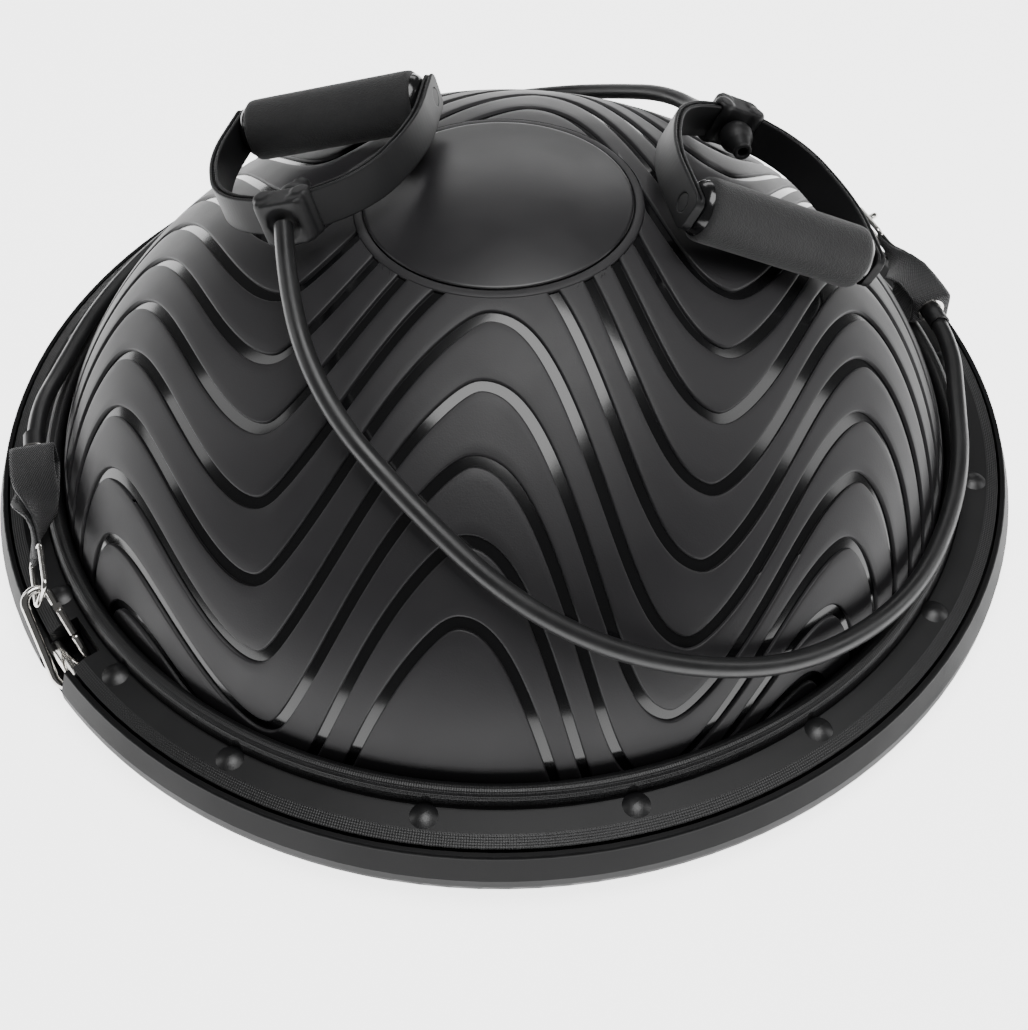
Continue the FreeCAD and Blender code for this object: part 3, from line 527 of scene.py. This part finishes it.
tubes = {
    "front": [
        (0.26560, 0.05828, 0.05536), (0.2726, 0.0251, 0.0565), (0.2665, -0.022, 0.0505),
        (0.258, -0.07, 0.051), (0.241, -0.114, 0.051), (0.217, -0.155, 0.052),
        (0.184, -0.189, 0.058), (0.14, -0.217, 0.068), (0.091, -0.231, 0.086),
        (0.043, -0.231, 0.105), (-0.002, -0.215, 0.126), (-0.047, -0.1785, 0.152),
        (-0.084, -0.139, 0.173), (-0.105, -0.086, 0.1925), (-0.10979, -0.03881, 0.20472),
    ],
    "rear": [
        (-0.26560, -0.05828, 0.05536), (-0.2726, -0.0251, 0.0565), (-0.2665, 0.022, 0.0505),
        (-0.256, 0.072, 0.051), (-0.236, 0.122, 0.051), (-0.206, 0.168, 0.052),
        (-0.166, 0.208, 0.055), (-0.116, 0.237, 0.06), (-0.07, 0.248, 0.069),
        (-0.014, 0.251, 0.083), (0.044, 0.243, 0.095), (0.078, 0.208, 0.1185),
        (0.108, 0.168, 0.143), (0.1265, 0.127, 0.155), (0.13295, 0.09000, 0.17933),
    ],
}
tubeSize = {"radius": 0.005, "lengths": {"front": 0.711, "rear": 0.719}}


def buildTube(name, points):
    curve = bpy.data.curves.new(name + "ResistanceTube", "CURVE")
    curve.dimensions = "3D"
    spline = curve.splines.new("NURBS")
    spline.points.add(len(points) - 1)
    for point, spot in zip(spline.points, points):
        point.co = (*spot, 1.0)
    spline.order_u = 3
    spline.use_endpoint_u = True
    spline.resolution_u = 12
    curve.bevel_depth = tubeSize["radius"]
    curve.bevel_resolution = 7
    curve.use_fill_caps = True
    return addPiece(curve.name, curve, tubeLatex, "base", replaces=[name + "_tube"])


for name, points in tubes.items():
    tube = buildTube(name, points)
    clip, hand = ("right", "left") if name == "front" else ("left", "right")
print("tubes done")

# ---- webbing tabs ----
# a loop of webbing folded round the link ring's bar, closed by an end cap with the eyelet;
# sizes in mm

tabForm = {"thick": 1.8, "wide": 24.5, "narrow": 11.6, "columns": 12, "selvedge": 0.45,
           "pucker": 0.3}
# the snap hook that holds the ring: the place of its pin, its lean, the height and half width of
# its eye, and where round the eye the ring hangs
hookForm = {"pin": (289, 3, 19.6), "lean": 42, "head": 38, "eyeHalf": 6.9, "eyeAngle": 35}
slotAngles = {"right": 36.6, "left": 216.6}
foldSpot = Vector((277.0, -48.5, 53.0))
tabMouth = Vector((246.3, -115.2, 55.5))


def linkBarAxis():
    # direction of the ring's bar that the webbing is folded round
    lean, eye = math.radians(hookForm["lean"]), math.radians(hookForm["eyeAngle"])
    up = Vector((0, -math.sin(lean), math.cos(lean)))
    inward = Vector((-1, 0, 0))
    eyeSpot = (Vector(hookForm["pin"])
               + up * (hookForm["head"] + hookForm["eyeHalf"] * math.cos(eye))
               + inward * (hookForm["eyeHalf"] * math.sin(eye)))
    along = (foldSpot - eyeSpot).normalized()
    tangent = inward * math.cos(eye) - up * math.sin(eye)
    bar = along.cross(tangent).normalized()
    return bar if bar.z > 0 else -bar


def buildTab(hand):
    axis = (tabMouth - foldSpot).normalized()
    length = (tabMouth - foldSpot).length
    bar = linkBarAxis()
    level = Vector((0, 0, 1)).cross(axis).normalized()
    # upper side of the loop: share of its length, and height above its middle
    half = [(-0.055, 0.0), (-0.045, 1.3), (-0.02, 2.1), (0.03, 2.3), (0.1, 2.1), (0.2, 2.1),
            (0.3, 2.8), (0.42, 5.0), (0.55, 7.2), (0.7, 8.6), (0.85, 9.3), (0.95, 9.5),
            (0.985, 8.9), (0.996, 7.6), (1.0, 5.6), (1.0, 2.8), (1.0, 0.0)]
    loop = half + [(share, -rise) for share, rise in half[-2:0:-1]]
    ends = (half[0][0], half[-1][0])
    turn = Matrix.Rotation(math.radians(slotAngles[hand]), 3, "Z")
    mesh = bmesh.new()
    weave = mesh.loops.layers.uv.new("weave")
    columns = tabForm["columns"]
    rows = []
    run = 0.0
    previous = None
    for i, (share, rise) in enumerate(loop):
        blend = max(0.0, min(1.0, share * 1.35))
        across = bar * (1 - blend) + level * blend
        across = (across - axis * across.dot(axis)).normalized()
        up = axis.cross(across)
        ease = max(0.0, min(1.0, (share - 0.12) / 0.4))
        ease = ease * ease * (3 - 2 * ease)
        width = tabForm["narrow"] + (tabForm["wide"] - tabForm["narrow"]) * ease
        centre = foldSpot + axis * (length * share) + up * rise
        before, after = loop[i - 1], loop[(i + 1) % len(loop)]
        heading = axis * ((after[0] - before[0]) * length) + up * (after[1] - before[1])
        inward = across.cross(heading).normalized()
        if share in ends:
            outward = inward.dot(foldSpot + axis * (length * 0.5) - centre) < 0
        else:
            outward = inward.dot(up) * rise > 0
        if outward:
            inward = -inward
        if previous is not None:
            run += (centre - previous).length
        previous = centre
        row = []
        for depth in (0.0, tabForm["thick"]):
            steps = range(columns + 1) if depth == 0.0 else range(columns, -1, -1)
            for k in steps:
                side = k / columns - 0.5
                # rounded selvedges, and a soft fold where the pinched end is gathered
                thin = tabForm["selvedge"] if k in (0, columns) else 0.0
                pucker = (1 - ease) * tabForm["pucker"] * math.cos(side * 4 * math.pi)
                sink = depth - thin if depth else thin
                spot = turn @ (centre + across * (width * side) + inward * (sink + pucker))
                row.append((mesh.verts.new(spot * mm), side * tabForm["wide"]))
        rows.append((row, run))
    # each row is joined to the next, and the last to the first; the weave runs on along them
    closing = (rows[0][0], run + 3.0)
    for (here, runHere), (there, runThere) in zip(rows, rows[1:] + [closing]):
        for k in range(len(here)):
            n = (k + 1) % len(here)
            corners = [(here[k], runHere), (here[n], runHere), (there[n], runThere),
                       (there[k], runThere)]
            face = mesh.faces.new([vert for (vert, _), _ in corners])
            for corner, ((_, sideways), along) in zip(face.loops, corners):
                corner[weave].uv = (sideways, along)
    addSolid(mesh, hand + "WebbingLoop", webbing, "base", replaces=[hand + "_webbing_tab"])


for hand in ("left", "right"):
    buildTab(hand)
print("webbing done")

# ---- moulded grip pieces ----
# the solid shapes again, in fine cells with softened edges: cell in mm, rounds of smoothing

softForm = {"knuckle": (0.7, 8), "strap": (0.5, 2), "ball_stopper": (0.5, 2)}


def buildSoft(node, cell, rounds, body):
    source = nodes[node]
    shape = bpy.data.objects.new(node + "Cells", source.data.copy())
    bpy.context.scene.collection.objects.link(shape)
    remesh = shape.modifiers.new("fineCells", "REMESH")
    remesh.mode = "VOXEL"
    remesh.voxel_size = cell * mm
    smooth = shape.modifiers.new("softEdges", "SMOOTH")
    smooth.factor = 0.5
    smooth.iterations = rounds
    bpy.context.view_layer.update()
    result = shape.evaluated_get(bpy.context.evaluated_depsgraph_get())
    mesh = bmesh.new()
    mesh.from_mesh(result.to_mesh())
    mesh.transform(source.matrix_world)
    result.to_mesh_clear()
    bpy.data.objects.remove(shape)
    name = node.replace("_", " ").title().replace(" ", "")
    addSolid(mesh, name[0].lower() + name[1:] + "Soft", source.data.materials[0], body,
             replaces=[node])


for hand in ("left", "right"):
    for piece, (cell, rounds) in softForm.items():
        buildSoft(hand + "_" + piece, cell, rounds, hand + "_handle")
print("grips softened")

# ---- foam grips ----
# places: the knuckle's point in mm, and the grip's yaw, pitch and roll in degrees

gripForm = {
    "half": 50.0, "radius": 17.4, "bore": 12.6, "reach": 102.0,
    "places": {"left": ((-108.0, -28.0, 203.8), (-8.0, -16.0, -5.0)),
               "right": ((134.4, 79.1, 179.4), (-172.6, -26.7, 0.4))},
}


def gripMatrix(hand):
    spot, (yaw, pitch, roll) = gripForm["places"][hand]
    return (Matrix.Translation(Vector(spot)) @ Matrix.Rotation(math.radians(yaw), 4, "Z")
            @ Matrix.Rotation(math.radians(pitch), 4, "Y")
            @ Matrix.Rotation(math.radians(roll), 4, "X"))


def buildFoam(hand):
    half, radius, bore = gripForm["half"], gripForm["radius"], gripForm["bore"]
    ends = [(bore, half), (radius - 3.0, half), (radius - 1.3, half - 0.5),
            (radius - 0.4, half - 1.5), (radius - 0.1, half - 3.2)]
    margin, steps = 6, 24
    body = [(radius, half - margin - step * (2 * half - 2 * margin) / steps)
            for step in range(steps + 1)]
    profile = ends + body + [(x, -y) for x, y in reversed(ends)]
    mesh = lathe(profile + profile[:1], 96)
    bmesh.ops.remove_doubles(mesh, verts=mesh.verts, dist=0.001)
    lay = Matrix.Translation((0, gripForm["reach"], 0)) @ Matrix.Rotation(math.pi / 2, 4, "Y")
    bmesh.ops.transform(mesh, matrix=Matrix.Scale(mm, 4) @ gripMatrix(hand) @ lay,
                        verts=mesh.verts)
    grip = addSolid(mesh, hand + "FoamSleeve", foam, hand + "_grip",
                    replaces=[hand + "_foam_grip"])


for hand in ("left", "right"):
    buildFoam(hand)
print("foam done")

# ---- floor, light and camera ----

# each lamp: place, width and height, watts, the point it faces
studio = {
    "floorHalf": 6.0, "floorGlow": 3.4, "skyGlow": 0.12,
    "lamps": {
        "topSoftbox": ((0.15, -0.1, 1.5), (1.0, 0.8), 19.0, (0, 0, 0.1)),
        "leftSoftbox": ((-1.4, 0.2, 0.8), (0.5, 1.0), 4.0, (0, 0, 0.1)),
        "rightSoftbox": ((1.4, 0.1, 0.8), (0.5, 1.0), 5.0, (0, 0, 0.1)),
        "backSoftbox": ((0.0, 1.5, 0.9), (1.4, 0.5), 6.0, (0, 0, 0.15)),
    },
}
view = {"place": (0, -0.6573, 0.6918), "aim": (0, 0, 0.072), "roll": -1.06, "lens": 53.8,
        "sensor": 36, "shift": (0.0121, -0.1518)}


def buildStage():
    mesh = bmesh.new()
    bmesh.ops.create_grid(mesh, x_segments=1, y_segments=1, size=studio["floorHalf"])
    data = bpy.data.meshes.new("studioFloor")
    mesh.to_mesh(data)
    mesh.free()
    floor = bpy.data.objects.new("studioFloor", data)
    bpy.context.scene.collection.objects.link(floor)
    mat, _, shader, _ = startMaterial("white studio floor", "#f4f4f4", 0.8)
    shader.inputs["Emission Color"].default_value = (1, 1, 1, 1)
    shader.inputs["Emission Strength"].default_value = studio["floorGlow"]
    data.materials.append(mat)
    world = bpy.data.worlds.new("studio")
    bpy.context.scene.world = world
    world.use_nodes = True
    sky = world.node_tree.nodes["Background"]
    sky.inputs["Color"].default_value = (1, 1, 1, 1)
    sky.inputs["Strength"].default_value = studio["skyGlow"]
    for name, (spot, (wide, tall), power, aim) in studio["lamps"].items():
        light = bpy.data.lights.new(name, "AREA")
        light.shape = "RECTANGLE"
        light.size, light.size_y, light.energy = wide, tall, power
        lamp = bpy.data.objects.new(name, light)
        bpy.context.scene.collection.objects.link(lamp)
        lamp.location = spot
        lamp.rotation_euler = (Vector(aim) - Vector(spot)).to_track_quat("-Z", "Y").to_euler()


def buildCamera():
    spot, roll = Vector(view["place"]), math.radians(view["roll"])
    ahead = (Vector(view["aim"]) - spot).normalized()
    right = ahead.cross(Vector((0, 0, 1))).normalized()
    above = right.cross(ahead)
    turnedRight = right * math.cos(roll) + above * math.sin(roll)
    turnedUp = above * math.cos(roll) - right * math.sin(roll)
    data = bpy.data.cameras.new("studioCamera")
    data.lens, data.sensor_width = view["lens"], view["sensor"]
    data.shift_x, data.shift_y = view["shift"]
    camera = bpy.data.objects.new("studioCamera", data)
    bpy.context.scene.collection.objects.link(camera)
    axes = Matrix((turnedRight, turnedUp, -ahead)).transposed().to_4x4()
    camera.matrix_world = Matrix.Translation(spot) @ axes
    bpy.context.scene.camera = camera


buildStage()
buildCamera()
print("scene done")
